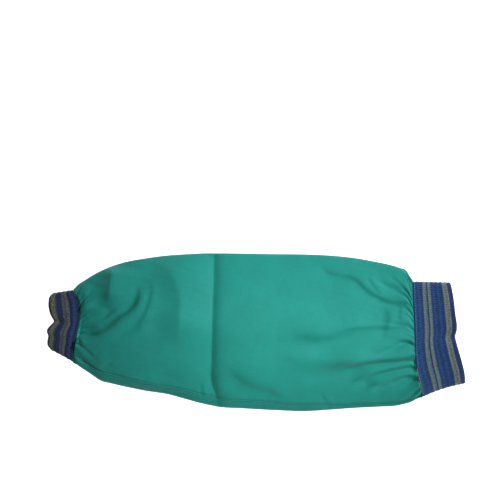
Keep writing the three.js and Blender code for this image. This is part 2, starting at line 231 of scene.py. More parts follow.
# Where the cloth meets a cuff, as distances from the seam into the cloth: from where to where it
# comes up out of the cuff, and from where to where its folds grow to their full height.
NECK_RISES = (-1.6, 1.0)
FOLDS_START = (-0.6, 1.6)

# Groove that the stitched seam presses into the cloth: its depth, its width, and how far past the
# seam strip's inner edge it lies.
GROOVE_DEPTH = 1.0
GROOVE_WIDTH = 1.4
GROOVE_OFFSET = 0.5


# Small helpers


def clamp(value, low=0.0, high=1.0):
    """The value, kept between low and high."""
    return np.minimum(np.maximum(value, low), high)


def lerp(start, end, share):
    """A share of the way from start to end."""
    return start + (end - start) * share


def smoothstep(value):
    """0 below 0, 1 above 1, and 3 v^2 - 2 v^3 between them."""
    value = clamp(value)
    return value * value * (3 - 2 * value)


def ease(value, start, end):
    """The smoothstep from 0 at start to 1 at end."""
    return smoothstep((value - start) / (end - start))


def through(table, at, column=1):
    """A smooth curve through a table: cubic pieces whose slope at each row is that of its
    neighbours."""
    places, values = table[:, 0], table[:, column]
    slopes = np.gradient(values, places)
    at = clamp(at, places[0], places[-1])
    row = np.clip(np.searchsorted(places, at, side="right") - 1, 0, len(places) - 2)
    span = places[row + 1] - places[row]
    t = (at - places[row]) / span
    return (
        values[row] * (1 + 2 * t) * (1 - t) ** 2
        + values[row + 1] * t * t * (3 - 2 * t)
        + span * (slopes[row] * t * (1 - t) ** 2 + slopes[row + 1] * t * t * (t - 1))
    )


def smooth_line(points, count):
    """A line of count points through the given ones, smooth by their distance along it."""
    points = np.array(points, float)
    along = np.concatenate([[0], np.cumsum(np.linalg.norm(np.diff(points, axis=0), axis=1))])
    at = np.linspace(0, along[-1], count)
    table = np.column_stack([along, points])
    return np.column_stack([through(table, at, 1 + i) for i in range(points.shape[1])])


def soft_noise(x, y, size, seed):
    """Gentle unevenness, mostly from -1 to 1: the sum of nine sine waves in seeded directions,
    about size long, over half their number."""
    waves = 9
    rng = np.random.default_rng(seed)
    total = 0
    for angle, phase, scale in zip(
        rng.uniform(0, pi, waves), rng.uniform(0, 2 * pi, waves), rng.uniform(0.6, 1.6, waves)
    ):
        wave = 2 * pi / (size * scale)
        total = total + np.sin(wave * (x * np.cos(angle) + y * np.sin(angle)) + phase)
    return total / (waves / 2)


# The flattened tube


def corners(end):
    """Far and near corner of one end of a cuff, with its rise and the height of its folds."""
    half = end["flat"] / 2
    return {
        "far_x": end["x"] + end["slant"],
        "near_x": end["x"],
        "far_y": end["shift"] + half,
        "near_y": end["shift"] - half,
        "rise": end["rise"],
        "fold": end["rise"] * CUFF_FOLD,
    }


def cloth_section(share):
    """Section of the cloth, a share of the way from the wrist's seam to the arm's. The height of
    its folds goes from the cuff's to its own by the time that half the rise is gained."""
    wrist, arm = corners(WRIST_SEAM), corners(ARM_SEAM)
    rise = through(RISE, share)
    seam_fold = np.where(share < MIDDLE, wrist["fold"], arm["fold"])
    seam_rise = np.where(share < MIDDLE, wrist["rise"], arm["rise"])
    full = clamp(2 * (rise - seam_rise) / (BODY_RISE - seam_rise))
    return {
        "far_x": lerp(wrist["far_x"], arm["far_x"], share),
        "near_x": lerp(wrist["near_x"], arm["near_x"], share),
        "far_y": through(FAR_EDGE, share) * BODY_FLAT / 2,
        "near_y": -through(NEAR_EDGE, share) * BODY_FLAT / 2,
        "rise": rise,
        "fold": lerp(seam_fold, FOLD_HEIGHT, full),
    }


def tube_point(section, angle, bow, lift=0):
    """A point of a flattened tube. The angle is 0 at the far fold, pi at the near fold and between
    them on the upper face. Both folds are half circles, the upper face is a crown of sine squared
    between them, and the lower face lies flat on the table."""
    across = (1 - np.cos(angle)) / 2
    up = np.sin(angle)
    rounding = 1 - clamp(np.abs(up) / ROUNDED)
    curl = section["fold"] * np.sqrt(clamp(1 - rounding**2))
    crown = (section["rise"] - 2 * section["fold"]) * clamp(up) ** 2
    x = lerp(section["far_x"], section["near_x"], across) + bow
    y = lerp(section["far_y"], section["near_y"], across)
    z = np.where(up > 0, section["fold"] + curl + crown + lift * up, section["fold"] - curl)
    return np.stack([x + 0 * z, y + 0 * z, z], axis=-1)


def cuff_surface(seam, edge, bows, lift, waist):
    """Outer face of a cuff over its length from 0 at the seam to 1 at the free edge, with the free
    edge's waves growing towards it and its near edge drawn in by the waist between its ends."""
    start, end = corners(seam), corners(edge)

    def surface(share, angle):
        section = {key: lerp(start[key], end[key], share) for key in start}
        section["near_y"] = section["near_y"] + waist * 4 * share * (1 - share)
        across = (1 - np.cos(angle)) / 2
        bow = lerp(through(bows[0], across), through(bows[1], across), share)
        return tube_point(section, angle, bow, through(lift, across) * edge["rise"] * share**2)

    return surface


wrist_face = cuff_surface(
    WRIST_SEAM, WRIST_EDGE, (WRIST_SEAM_BOW, WRIST_EDGE_BOW), WRIST_LIFT, WRIST_WAIST
)
arm_face = cuff_surface(ARM_SEAM, ARM_EDGE, (ARM_SEAM_BOW, ARM_EDGE_BOW), ARM_LIFT, ARM_WAIST)
WRIST_BAND = WRIST_SEAM["x"] - WRIST_EDGE["x"]
ARM_BAND = ARM_EDGE["x"] - ARM_SEAM["x"]


def body_surface(share, angle):
    """Smooth cloth: between the seams its own section, and before and after them the neck that is
    sewn inside each cuff, whose section is the cuff's."""
    across = (1 - np.cos(angle)) / 2
    inner = clamp(share)
    bow = (
        through(WRIST_SEAM_BOW, across) * (1 - inner) ** BOW_POWER
        + through(ARM_SEAM_BOW, across) * inner**BOW_POWER
    )
    point = tube_point(cloth_section(inner), angle, bow)
    in_wrist = wrist_face(clamp(-share * REACH / WRIST_BAND), angle)
    in_arm = arm_face(clamp((share - 1) * REACH / ARM_BAND), angle)
    point = np.where((share < 0)[..., None], in_wrist, point)
    return np.where((share > 1)[..., None], in_arm, point)


def outward_normal(surface, share, angle, step=1e-4):
    """Normal of a surface, from the points a small step to either side."""
    along = surface(share + step, angle) - surface(share - step, angle)
    around = surface(share, angle + step) - surface(share, angle - step)
    normal = np.cross(around, along)
    return normal / np.maximum(np.linalg.norm(normal, axis=-1, keepdims=True), 1e-9)


# Relief of the cloth


def line_distance(line, x, y):
    """Signed distance of each place from a line, above 0 to its right, and the share of the way
    along it."""
    path = smooth_line(line, LINE_STEPS)
    nearest = np.full(x.shape, np.inf)
    side = np.ones_like(x)
    along = np.zeros_like(x)
    for i, (start, end) in enumerate(zip(path[:-1], path[1:])):
        run = end - start
        to_x, to_y = x - start[0], y - start[1]
        share = clamp((to_x * run[0] + to_y * run[1]) / (run @ run))
        distance = np.hypot(to_x - share * run[0], to_y - share * run[1])
        closer = distance < nearest
        nearest = np.where(closer, distance, nearest)
        side = np.where(closer, np.sign(run[1] * to_x - run[0] * to_y), side)
        along = np.where(closer, (i + share) / (len(path) - 1), along)
    return nearest * side, along


def fold_relief(x, y):
    """Sum of the crests, each height * exp(-(distance / width)^power) with the width of its side,
    and of the steps, each rise * d / sqrt(1 + d^2) with d = distance / width, which comes back by
    exp(-(distance / reach)^1.5). All fade in and out along their lines."""
    relief = np.zeros_like(x)
    for height, left, right, power, fade_in, fade_out, line in CRESTS:
        distance, along = line_distance(line, x, y)
        width = np.where(distance > 0, right, left)
        fade = smoothstep(along / fade_in) * smoothstep((1 - along) / fade_out)
        relief += height * fade * np.exp(-((np.abs(distance) / width) ** power))
    for rise, width, left, right, fade_in, fade_out, line in STEPS:
        distance, along = line_distance(line, x, y)
        reach = np.where(distance > 0, right, left)
        fade = smoothstep(along / fade_in) * smoothstep((1 - along) / fade_out)
        steep = distance / width / np.sqrt(1 + (distance / width) ** 2)
        relief += rise * fade * steep * np.exp(-((np.abs(distance) / reach) ** 1.5))
    return relief


def pleat_relief(distance, across, flat, seed_shift, columns):
    """Sum of the pleats of one seam: sharp valleys of height * exp(-(offset / width)^1.3) that widen
    and die away along their reach, each with its own seeded place, size, reach and lean, between
    folds that stand a third of the height above the smooth cloth."""
    _, count, reach, height, width, lean, seed = columns
    rng = np.random.default_rng(seed + seed_shift)
    place = (np.arange(count) + 0.5 + rng.uniform(-0.35, 0.35, count)) / count
    heights = height * rng.uniform(0.4, 1.3, count)
    reaches = reach * rng.uniform(0.5, 1.5, count)
    widths = width * rng.uniform(0.75, 1.3, count)
    leans = lean * (2 * place - 1 + rng.uniform(-0.4, 0.4, count))
    relief = height / 3 * np.exp(-((distance / reach) ** 1.6))
    for at, tall, far, wide, slope in zip(place, heights, reaches, widths, leans):
        offset = (across - at) * flat - slope * distance
        spread = wide * (1 + 0.9 * distance / far)
        valley = np.exp(-((np.abs(offset) / spread) ** 1.3))
        relief = relief - tall * valley * np.exp(-((distance / far) ** 1.6))
    return relief


def cloth_relief(share, angle, point):
    """How far the cloth stands off the smooth surface: the folds and fine wrinkles on the upper
    face, and pleats at both seams, which are shallower towards the two long edges."""
    x, y = point[..., 0], point[..., 1]
    across = (1 - np.cos(angle)) / 2
    upper = np.sin(angle) > 0
    on_top = smoothstep(np.sin(angle) / 0.25)
    face = np.where(upper, 1.0, UNDERSIDE)
    edge = smoothstep(np.abs(np.sin(angle)) / 0.12) * 0.6 + 0.4
    relief = fold_relief(x, y) * on_top
    for columns in PLEATS:
        seam = WRIST_SEAM if columns[0] else ARM_SEAM
        distance = np.abs(share if columns[0] else 1 - share) * REACH
        top = pleat_relief(distance, across, seam["flat"], 0, columns)
        under = pleat_relief(distance, across, seam["flat"], UNDERSIDE_SEED, columns)
        relief += np.where(upper, top, under) * face * edge
    near_cuff = sum(np.exp(-way * REACH / WRINKLE_REACH) for way in (share, 1 - share))
    wrinkles = sum(height * soft_noise(x, y, size, seed) for height, size, seed in WRINKLES)
    return relief + wrinkles * (1 + 2 * near_cuff) * on_top


# How far in from the near fold the seam is stitched, by share of the way from the wrist: the seam
# rolls under the sleeve towards the arm cuff
SEAM_INSET = np.array(
    [
        (0, 8), (0.05, 10.5), (0.12, 11), (0.22, 9.8), (0.27, 8.8), (0.3, 10.2), (0.36, 10.4),
        (0.42, 9.2), (0.53, 9.4), (0.62, 8.4), (0.7, 7.8), (0.76, 5), (0.84, 3.8), (1, 3.2),
    ]
)  # fmt: skip


def seam_line_angle(share, inset):
    """Angle of the line that runs inset millimetres in from the near fold, from the cosine that
    sets how far across the tube an angle is."""
    section = cloth_section(clamp(share))
    flat = section["far_y"] - section["near_y"]
    return np.arccos(clamp(-1 + 2 * inset / flat, -1, 1))


def cloth_point(share, angle):
    """A point of the cloth's outer face: the smooth surface moved along its normal by the relief
    less the seam's groove, inwards by the neck's depth inside a cuff, and kept above the table."""
    smooth = body_surface(share, angle)
    normal = outward_normal(body_surface, share, angle)
    relief = cloth_relief(share, angle, smooth)
    from_seam = np.minimum(share, 1 - share) * REACH
    neck = NECK_DEPTH * (1 - ease(from_seam, *NECK_RISES))
    free = ease(from_seam, *FOLDS_START)
    section = cloth_section(clamp(share))
    flat = section["far_y"] - section["near_y"]
    inset = (1 + np.cos(angle)) / 2 * flat - through(SEAM_INSET, clamp(share))
    groove = GROOVE_DEPTH * np.exp(-(((inset - GROOVE_OFFSET) / GROOVE_WIDTH) ** 2))
    groove = groove * (np.sin(angle) > 0)
    off = (relief - groove) * free - neck
    point = smooth + normal * off[..., None]
    point[..., 2] = np.maximum(point[..., 2], CLEARANCE + neck)
    return point


# Meshes


def add_mesh(name, points, faces, uvs=None):
    """A smooth mesh object from millimetre points and faces, with one UV for each corner of a
    face."""
    mesh = bpy.data.meshes.new(name)
    mesh.from_pydata((np.asarray(points) * MM).tolist(), [], list(faces))
    if uvs is not None:
        layer = mesh.uv_layers.new(name="UVMap")
        layer.data.foreach_set("uv", np.asarray(uvs, np.float32).ravel())
    mesh.polygons.foreach_set("use_smooth", np.full(len(mesh.polygons), True))
    mesh.update()
    piece = bpy.data.objects.new(name, mesh)
    bpy.context.scene.collection.objects.link(piece)
    return piece


def grid_faces(rows, columns, closed):
    """Quads of a grid of rows x columns points, whose last column joins the first if closed."""
    across = columns if closed else columns - 1
    r, c = np.meshgrid(np.arange(rows - 1), np.arange(across), indexing="ij")
    following = (c + 1) % columns
    a, b = r * columns + c, r * columns + following
    return np.stack([a, b, b + columns, a + columns], axis=-1).reshape(-1, 4)


def ring_mesh(name, points, uv_points, capped=False):
    """A tube from a grid of points, a row for each ring, with a flat cap on each end if capped.
    uv_points has one more column, so that the pattern runs on to where the ring closes."""
    rows, columns = points.shape[:2]
    faces = grid_faces(rows, columns, True).tolist()
    r, c = np.meshgrid(np.arange(rows - 1), np.arange(columns), indexing="ij")
    uv = np.stack(
        [uv_points[r, c], uv_points[r, c + 1], uv_points[r + 1, c + 1], uv_points[r + 1, c]], axis=2
    ).reshape(-1, 2)
    if capped:
        first = list(range(columns))[::-1]
        faces += [first, [(rows - 1) * columns + c for c in range(columns)]]
        uv = np.concatenate([uv, uv_points[0, first], uv_points[-1, :-1]])
    return add_mesh(name, points.reshape(-1, 3), faces, uv)


def thicken(piece, thickness):
    """Gives a face its wall, inwards from the outer face."""
    wall = piece.modifiers.new("wall", "SOLIDIFY")
    wall.thickness = thickness * MM
    wall.offset = -1
    wall.use_even_offset = False
    return piece


def tube_angles(top, bottom):
    """Angles round a flattened tube, so many over the upper face and so many under it, at places
    between an even share of the angle and an even share of the width."""

    def spread(count):
        share = np.arange(count) / count
        return lerp(share * pi, np.arccos(1 - 2 * share), 0.6)

    return np.concatenate([spread(top), pi + spread(bottom)])


def girth_lengths(points):
    """Distance round a ring from its first column, with the whole girth as a last column."""
    closed = np.concatenate([points, points[:, :1]], axis=1)
    steps = np.linalg.norm(np.diff(closed, axis=1), axis=-1)
    return np.concatenate([np.zeros((len(points), 1)), np.cumsum(steps, axis=1)], axis=1)


# Materials: the scale of a pattern is in repeats a metre, and a rotation in radians


def linear(code):
    """An sRGB hex colour as linear RGBA."""
    values = [int(code[i : i + 2], 16) / 255 for i in (1, 3, 5)]
    return (*[v / 12.92 if v <= 0.04045 else ((v + 0.055) / 1.055) ** 2.4 for v in values], 1.0)


def give(node, inputs):
    """Gives inputs of a node a value or another node's output."""
    for key, value in inputs.items():
        if isinstance(value, bpy.types.NodeSocket):
            node.id_data.links.new(value, node.inputs[key])
        else:
            node.inputs[key].default_value = value


def add_node(tree, kind, inputs, stops=(), **settings):
    """Adds a node with its properties, inputs and, for a colour ramp, its (place, colour) stops."""
    node = tree.nodes.new(kind)
    for key, value in settings.items():
        setattr(node, key, value)
    for i, (place, code) in enumerate(stops):
        elements = node.color_ramp.elements
        element = elements[i] if i < len(elements) else elements.new(place)
        element.position = place
        element.color = linear(code)
    give(node, inputs)
    return node


def new_material(name, inputs):
    """A material with its node tree and its shader."""
    material = bpy.data.materials.new(name)
    material.use_nodes = True
    shader = material.node_tree.nodes["Principled BSDF"]
    give(shader, inputs)
    return material, material.node_tree, shader


def cotton_twill(name, dark, mid, light, ribs):
    """Twill-woven work cotton: matt with a faint sheen, fine diagonal lines, uneven yarns both ways
    and faint clouding. A real twill line is 0.6 mm wide, too fine to show, so it is drawn 1.5 mm.
    Its yarns are uneven over 11 to 14 mm of their length, and drawn 1.1 to 1.25 mm wide for the same
    reason. ribs is how much the lines stand out beside the yarns. UV x is the length along the
    sleeve in metres, and UV y the length round it."""
    material, tree, shader = new_material(
        name,
        {
            "Roughness": 0.7,
            "Specular IOR Level": 0.31,
            "Sheen Weight": 0.08,
            "Sheen Roughness": 0.5,
        },
    )
    uv = add_node(tree, "ShaderNodeTexCoord", {}).outputs["UV"]
    turned = add_node(tree, "ShaderNodeMapping", {"Vector": uv, "Rotation": (0, 0, 0.62)})
    # The bands of a wave node are 2 pi / (20 scale) wide
    lines = add_node(
        tree,
        "ShaderNodeTexWave",
        {
            "Vector": turned.outputs["Vector"],
            "Scale": 2 * pi / 20 / (1.5 * MM),
            "Distortion": 1.6,
            "Detail": 2.0,
            "Detail Scale": 2.5,
            "Detail Roughness": 0.6,
        },
        wave_type="BANDS",
        bands_direction="X",
    )
    along = add_node(tree, "ShaderNodeMapping", {"Vector": uv, "Scale": (90, 900, 1)})
    yarns = add_node(
        tree,
        "ShaderNodeTexNoise",
        {"Vector": along.outputs["Vector"], "Scale": 1.0, "Detail": 3.0, "Roughness": 0.6},
    )
    around = add_node(tree, "ShaderNodeMapping", {"Vector": uv, "Scale": (800, 70, 1)})
    picks = add_node(
        tree,
        "ShaderNodeTexNoise",
        {"Vector": around.outputs["Vector"], "Scale": 1.0, "Detail": 3.0, "Roughness": 0.6},
    )
    clouds = add_node(
        tree, "ShaderNodeTexNoise", {"Vector": uv, "Scale": 22.0, "Detail": 4.0, "Roughness": 0.55}
    )
    threads = add_node(
        tree, "ShaderNodeMath", {0: yarns.outputs["Fac"], 1: picks.outputs["Fac"]}, operation="ADD"
    )
    height = add_node(
        tree,
        "ShaderNodeMath",
        {0: lines.outputs["Fac"], 1: ribs, 2: threads.outputs["Value"]},
        operation="MULTIPLY_ADD",
    )
    # The height has a mean of 1.45 and the clouds of 0.5, so the tone has a mean of 0.5
    faint = add_node(
        tree, "ShaderNodeMath", {0: clouds.outputs["Fac"], 1: 0.36}, operation="MULTIPLY"
    )
    tone = add_node(
        tree,
        "ShaderNodeMath",
        {0: height.outputs["Value"], 1: 0.22, 2: faint.outputs["Value"]},
        operation="MULTIPLY_ADD",
    )
    colour = add_node(
        tree,
        "ShaderNodeValToRGB",
        {"Fac": tone.outputs["Value"]},
        stops=[(0.3, dark), (0.5, mid), (0.7, light)],
    )
    bump = add_node(
        tree,
        "ShaderNodeBump",
        {"Height": height.outputs["Value"], "Strength": 0.35, "Distance": 0.22 * MM},
    )
    give(shader, {"Base Color": colour.outputs["Color"], "Normal": bump.outputs["Normal"]})
    return material


def band_stops(bands, column):
    """Stops of a ramp for bands of even colour: two stops a band, a little in from its ends."""
    stops = []
    for band in bands:
        start, end = band[:2]
        soften = min(0.008, (end - start) / 4)
        stops += [(start + soften, band[column]), (end - soften, band[column])]
    return stops


def striped_knit(name, bands):
    """Elastic rib knit of textured polyester: matt and a little hairy, in bands of dyed yarn whose
    loops mix two tones in short slanting flecks. UV x is the length round the cuff in metres, and
    UV y the share of the way from the seam to the free edge."""
    material, tree, shader = new_material(
        name,
        {
            "Roughness": 0.92,
            "Specular IOR Level": 0.2,
            "Sheen Weight": 0.2,
            "Sheen Roughness": 0.6,
        },
    )
    uv = add_node(tree, "ShaderNodeTexCoord", {}).outputs["UV"]
    parts = add_node(tree, "ShaderNodeSeparateXYZ", {"Vector": uv})
    # Loops are 1.1 mm apart round the cuff, drawn 1.6 mm so that they show, with 34 of them between
    # the seam and the free edge
    loops_at = add_node(tree, "ShaderNodeMapping", {"Vector": uv, "Scale": (620, 34, 1)})
    loops = add_node(
        tree,
        "ShaderNodeTexNoise",
        {"Vector": loops_at.outputs["Vector"], "Scale": 1.0, "Detail": 2.0, "Roughness": 0.65},
    )
    # A slanting fleck is about 1.7 mm wide and 4 mm long
    slanted = add_node(
        tree, "ShaderNodeMapping", {"Vector": loops_at.outputs["Vector"], "Rotation": (0, 0, 0.7)}
    )
    flecks_at = add_node(
        tree, "ShaderNodeMapping", {"Vector": slanted.outputs["Vector"], "Scale": (0.95, 0.4, 1)}
    )
    flecks = add_node(
        tree,
        "ShaderNodeTexNoise",
        {"Vector": flecks_at.outputs["Vector"], "Scale": 1.0, "Detail": 3.0, "Roughness": 0.6},
    )
    mixed = add_node(
        tree,
        "ShaderNodeMath",
        {0: flecks.outputs["Fac"], 1: 1.5, 2: loops.outputs["Fac"]},
        operation="MULTIPLY_ADD",
    )
    share = add_node(
        tree,
        "ShaderNodeMapRange",
        {"Value": mixed.outputs["Value"], "From Min": 1.12, "From Max": 1.38},
    )
    # The edges of the bands wander by up to 0.025 of the way to either side
    wander = add_node(
        tree,
        "ShaderNodeMath",
        {0: flecks.outputs["Fac"], 1: 0.05, 2: parts.outputs["Y"]},
        operation="MULTIPLY_ADD",
    )
    place = add_node(
        tree, "ShaderNodeMath", {0: wander.outputs["Value"], 1: 0.025}, operation="SUBTRACT"
    )
    tones = [
        add_node(
            tree,
            "ShaderNodeValToRGB",
            {"Fac": place.outputs["Value"]},
            stops=band_stops(bands, column),
        )
        for column in (2, 3)
    ]
    colour = add_node(
        tree,
        "ShaderNodeMixRGB",
        {
            "Fac": share.outputs["Result"],
            "Color1": tones[0].outputs["Color"],
            "Color2": tones[1].outputs["Color"],
        },
    )
    bump = add_node(
        tree,
        "ShaderNodeBump",
        {"Height": mixed.outputs["Value"], "Strength": 0.5, "Distance": 0.4 * MM},
    )
    give(shader, {"Base Color": colour.outputs["Color"], "Normal": bump.outputs["Normal"]})
    return material


def sewing_thread(name, dark, light):
    """Spun polyester sewing thread: a slightly glossy twist with darker grooves, 1.1 mm apart."""
    material, tree, shader = new_material(name, {"Roughness": 0.6, "Sheen Weight": 0.1})
    position = add_node(tree, "ShaderNodeTexCoord", {}).outputs["Object"]
    twist = add_node(
        tree, "ShaderNodeTexNoise", {"Vector": position, "Scale": 900.0, "Detail": 2.0}
    )
    colour = add_node(
        tree, "ShaderNodeValToRGB", {"Fac": twist.outputs["Fac"]}, stops=[(0.35, dark), (0.6, light)]
    )
    bump = add_node(
        tree,
        "ShaderNodeBump",
        {"Height": twist.outputs["Fac"], "Strength": 0.4, "Distance": 0.1 * MM},
    )
    give(shader, {"Base Color": colour.outputs["Color"], "Normal": bump.outputs["Normal"]})
    return material


cotton = cotton_twill("green_twill_cotton", "#14877a", "#189586", "#1d9f90", 0.9)
# The turned strip is the body's twill painted a little darker: painted shade along the near fold
seam_cotton_painted_shade = cotton_twill("green_twill_cotton_turned_painted_shade", "#138073", "#168d7f", "#1a9789", 0.6)
# The dark green thread is partly its own colour and partly painted shade: it is darkened so that the
# seam's stitches lay a dark line over the groove's lit flank
green_thread_painted_shade = sewing_thread("dark_green_sewing_thread_painted_shade", "#093f37", "#0d5449")
grey_thread = sewing_thread("pale_blue_sewing_thread", "#50708c", "#7394aa")
beige_thread = sewing_thread("beige_sewing_thread", "#857c68", "#b3a991")

# Bands of each cuff from its seam to its free edge: start, end and the two tones of their loops
ARM_BANDS = [
    (0.0, 0.03, "#24407a", "#1c3c5a"),
    (0.03, 0.085, "#2d589a", "#1e4a64"),
    (0.085, 0.22, "#294f94", "#193f56"),
    (0.22, 0.25, "#24404c", "#2a4a6c"),
    (0.25, 0.345, "#637e98", "#5e6a58"),
    (0.345, 0.378, "#203454", "#2c4258"),
    (0.378, 0.452, "#66839e", "#636e58"),
    (0.452, 0.475, "#2a4270", "#3c5668"),
    (0.475, 0.76, "#274a8e", "#174056"),
    (0.76, 0.885, "#7c8a90", "#6c6f58"),
    (0.885, 1.0, "#283460", "#2c4474"),
]
WRIST_BANDS = [
    (0.0, 0.12, "#12364e", "#183c56"),
    (0.12, 0.25, "#2c4684", "#202c48"),
    (0.25, 0.34, "#182544", "#22304a"),
    (0.34, 0.44, "#5c6a78", "#44483e"),
    (0.44, 0.48, "#34405c", "#4c5048"),
    (0.48, 0.56, "#5c6a78", "#464838"),
    (0.56, 0.73, "#1a2a5e", "#262c3a"),
    (0.73, 0.785, "#344454", "#3e4644"),
    (0.785, 0.93, "#72746e", "#484a40"),
    # The last band, a dark rim along the free edge, is painted shade of the rolled-in edge
    (0.93, 1.0, "#34302c", "#262628"),
]
arm_knit = striped_knit("striped_elastic_knit_arm", ARM_BANDS)
wrist_knit = striped_knit("striped_elastic_knit_wrist", WRIST_BANDS)

# The cloth body

BODY_ROWS = 238
TOP_COLUMNS = 132
UNDER_COLUMNS = 46
# Where the rows lie closer: the end (0 at the wrist, 1 at the arm), the extra rows there for each
# one in the middle, and over how many millimetres they fade.
GATHER_ROWS = [(0, 2.6, 14), (1, 2.6, 14), (0, 0.9, 90), (1, 0.7, 90)]
# The same for the crease: its share of the way, the extra rows, and their width as a share.
CREASE_ROWS = (0.405, 1.6, 0.016)


def sleeve_shares():
    """Rows along the cloth, closer together at the gathers and at the crease: places at which an
    equal share of a density of rows has gone by."""
    fine = np.linspace(0, 1, 4001)
    crease, extra, width = CREASE_ROWS
    density = 1 + extra * np.exp(-(((fine - crease) / width) ** 2))
    for end, extra, reach in GATHER_ROWS:
        density += extra * np.exp(-np.abs(fine - end) * REACH / reach)
    gone = np.concatenate([[0], np.cumsum((density[1:] + density[:-1]) / 2)])
    between = np.interp(np.linspace(0, gone[-1], BODY_ROWS), gone, fine)
    lap = np.array([0.25, 0.5, 1]) * LAP / REACH
    return np.concatenate([-lap[::-1], between, 1 + lap])


def make_body():
    """The tube of cloth: its outer face on a grid of rows along it and angles round it, and a wall
    inwards. The weave is laid out from the middle of the upper face."""
    shares = sleeve_shares()
    share, angle = np.meshgrid(shares, tube_angles(TOP_COLUMNS, UNDER_COLUMNS), indexing="ij")
    points = cloth_point(share, angle)
    lengths = girth_lengths(points)
    along = np.repeat((shares * REACH)[:, None], lengths.shape[1], axis=1)
    crown = TOP_COLUMNS // 2
    uv = np.stack([along, lengths - lengths[:, crown : crown + 1]], axis=-1) * MM
    body = ring_mesh("cloth_body", points, uv)
    thicken(body, CLOTH)
    body.data.materials.append(cotton)
    return body


body = make_body()
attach(body, "root")
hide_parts("sleeve_body")


# The side seam

STRIP_ROWS = 420
STRIP_TOP_COLUMNS = 12
STRIP_UNDER_COLUMNS = 8
STRIP_END = 3  # the strip stops this far from the seam of each cuff
STRIP_UNDER = 0.03  # its lower side lies this far off the cloth
STRIP_EDGE = 0.12  # its upper side stands this far off along its edges
STRIP_ARCH = 0.28  # and this much further between them
# Height, size and seed of the puckers
STRIP_PUCKERS = [(0.5, 12, 31), (0.3, 5, 32)]


def seam_height(share, across):
    """How far the strip's upper side stands off the cloth, with across from 0 at the fold to 1 at
    its inner edge: a sine arch, puckered by the stitches and flat along its inner edge."""
    run = share * REACH
    pucker = sum(high * soft_noise(run, run * 0, size, seed) for high, size, seed in STRIP_PUCKERS)
    arch = np.sin(pi * clamp(across * 0.9 + 0.1)) ** 0.8
    return STRIP_EDGE + STRIP_ARCH * arch * (1 + 0.4 * pucker)


def make_side_seam():
    """The turned edge of the cloth along the near fold: a flat loop of section carried along the
    fold."""
    shares = np.linspace(STRIP_END / REACH, 1 - STRIP_END / REACH, STRIP_ROWS)
    top = np.linspace(0, 1, STRIP_TOP_COLUMNS)
    under = np.linspace(1, 0, STRIP_UNDER_COLUMNS)[1:-1]
    is_top = np.concatenate([np.ones(len(top)), np.zeros(len(under))])
    share, across = np.meshgrid(shares, np.concatenate([top, under]), indexing="ij")
    inset = across * through(SEAM_INSET, share)
    angle = seam_line_angle(share, inset)
    height = np.where(is_top > 0, seam_height(share, across), STRIP_UNDER)
    points = cloth_point(share, angle)
    points = points + outward_normal(body_surface, share, angle) * height[..., None]
    uv_grid = np.stack([share * REACH, inset], axis=-1) * MM
    strip = ring_mesh(
        "side_seam_strip", points, np.concatenate([uv_grid, uv_grid[:, :1]], axis=1), capped=True
    )
    # Its cotton is painted a little darker than the body's, as painted shade along the near fold
    strip.data.materials.append(seam_cotton_painted_shade)
    return strip


side_seam = make_side_seam()
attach(side_seam, "root")
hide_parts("side_seam")


# The knit cuffs

RIB_HEIGHT = 0.16  # ridges that run along the arm
COURSE_HEIGHT = 0.07  # finer rows of loops across them
COURSE_PITCH = 1.9
ELASTIC_HEIGHT = 0.22  # swells over the elastic cords in the band
ELASTIC_PITCH = 6.5
UNEVEN = (0.35, 26, 41)  # height, size and seed of the band's gentle waves
FREE_EDGE_ROLL = 0.8  # how far the band's two edges roll in
SEAM_EDGE_ROLL = 0.4


def make_cuff(name, surface, band, at_wrist, rows, columns, material, rib_pitch):
    """A ring of knit from its seam, where it is turned over the gathered cloth, to its free edge.
    Its ribs run along the arm as ridges of a cosine of the length round it, crossed by finer
    courses, and both edges are rolled in a little."""
    shares = np.linspace(0.0, 1.0, rows)
    share, angle = np.meshgrid(shares, tube_angles(*columns), indexing="ij")
    smooth = surface(share, angle)
    normal = outward_normal(surface, share, angle) * (-1 if at_wrist else 1)
    lengths = girth_lengths(smooth)
    girth = lengths[:, -1:]
    count = np.round(girth.mean() / rib_pitch)
    turn = lengths[:, :-1] / girth * 2 * pi * count
    course = share * band / COURSE_PITCH * 2 * pi
    rib = RIB_HEIGHT * np.cos(turn + 0.35 * np.sin(course)) + COURSE_HEIGHT * np.cos(course)
    elastic = ELASTIC_HEIGHT * np.cos(share * band / ELASTIC_PITCH * 2 * pi)
    high, size, seed = UNEVEN
    uneven = high * soft_noise(smooth[..., 0], smooth[..., 1], size, seed)
    uneven = uneven * smoothstep(np.sin(angle) * 3) * smoothstep(share * 3)
    roll = -FREE_EDGE_ROLL * ease(share, 0.95, 1) - SEAM_EDGE_ROLL * (1 - ease(share, 0, 0.04))
    points = smooth + normal * (rib + elastic + uneven + roll)[..., None]
    points[..., 2] = np.maximum(points[..., 2], CLEARANCE)
    uv = np.stack([lengths * MM, np.repeat(shares[:, None], lengths.shape[1], axis=1)], axis=-1)
    if at_wrist:
        points, uv = points[::-1], uv[::-1]
    cuff = ring_mesh(name, points, uv)
    thicken(cuff, KNIT)
    cuff.data.materials.append(material)
    return cuff


arm_cuff = make_cuff("arm_knit_cuff", arm_face, ARM_BAND, False, 66, (250, 150), arm_knit, 2.3)
wrist_cuff = make_cuff(
    "wrist_knit_cuff", wrist_face, WRIST_BAND, True, 48, (180, 110), wrist_knit, 2.1
)
for cuff, node, slot in (
    (arm_cuff, "arm_cuff", "arm_knit"),
    (wrist_cuff, "wrist_cuff", "wrist_knit"),
):
    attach(cuff, "root")
    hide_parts(node)


# Stitches

THREAD_SIDES = 6
